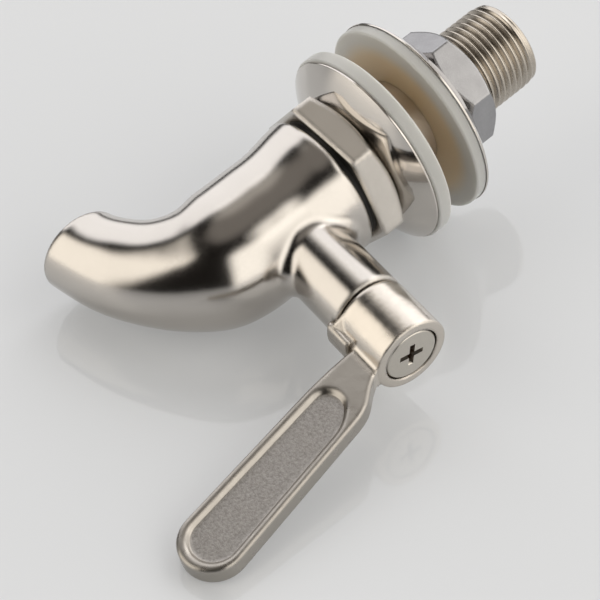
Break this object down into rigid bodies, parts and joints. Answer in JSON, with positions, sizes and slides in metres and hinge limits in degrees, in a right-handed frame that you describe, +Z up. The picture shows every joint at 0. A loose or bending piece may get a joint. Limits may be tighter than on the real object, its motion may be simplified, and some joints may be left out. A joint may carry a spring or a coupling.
{
  "type": "beverage dispenser spigot",
  "caption": "Stainless lever spigot for a drinks dispenser: down-turned spout, ball valve turned by a lever, hexagon collar, dished escutcheon, gaskets and lock nut on a threaded shank.",
  "frame": {"origin": "on the shank's axis at the dispenser wall's outer face, which is the rear face of the front gasket", "axes": "+Z up with the spout's mouth facing down, -Y forward towards the drinker, +Y back along the threaded shank into the dispenser, +X to the drinker's right as they face it"},
  "size_m": [0.0376, 0.1082, 0.068],
  "materials": {
    "body_steel": "mirror polished cast stainless steel",
    "shank_steel": "turned stainless steel, polished collar",
    "dish_steel": "polished pressed stainless steel sheet",
    "silicone": "translucent off-white silicone",
    "nut_steel": "machined stainless steel, duller than the body",
    "seal_rubber": "black nitrile",
    "ball_steel": "ground stainless steel",
    "seat_ptfe": "white PTFE",
    "stem_steel": "turned stainless steel",
    "o_ring_rubber": "black nitrile",
    "gland_steel": "turned stainless steel",
    "lever_steel": "satin cast stainless steel",
    "screw_steel": "stainless steel"
  },
  "bodies": {
    "spigot": {"spout_body": "body_steel", "inlet_shank": "shank_steel", "escutcheon": "dish_steel", "front_gasket": "silicone", "rear_gasket": "silicone", "rear_dish": "dish_steel", "lock_nut": "nut_steel", "body_seal_ring": "seal_rubber", "front_seat": "seat_ptfe", "rear_seat": "seat_ptfe", "thrust_washer": "seat_ptfe", "gland_washer": "seat_ptfe", "gland_nut": "gland_steel"},
    "lever": {"lever_handle": "lever_steel", "lever_screw": "screw_steel", "screw_lock_washer": "screw_steel", "valve_stem": "stem_steel", "valve_ball": "ball_steel", "stem_o_ring_lower": "o_ring_rubber", "stem_o_ring_upper": "o_ring_rubber"}
  },
  "joints": [
    {"name": "lever_turn", "type": "hinge", "parent": "spigot", "child": "lever", "pos_m": [0, -0.0232, 0], "axis": [0, -0.0872, 0.9962], "range_deg": [0, 90]}
  ]
}
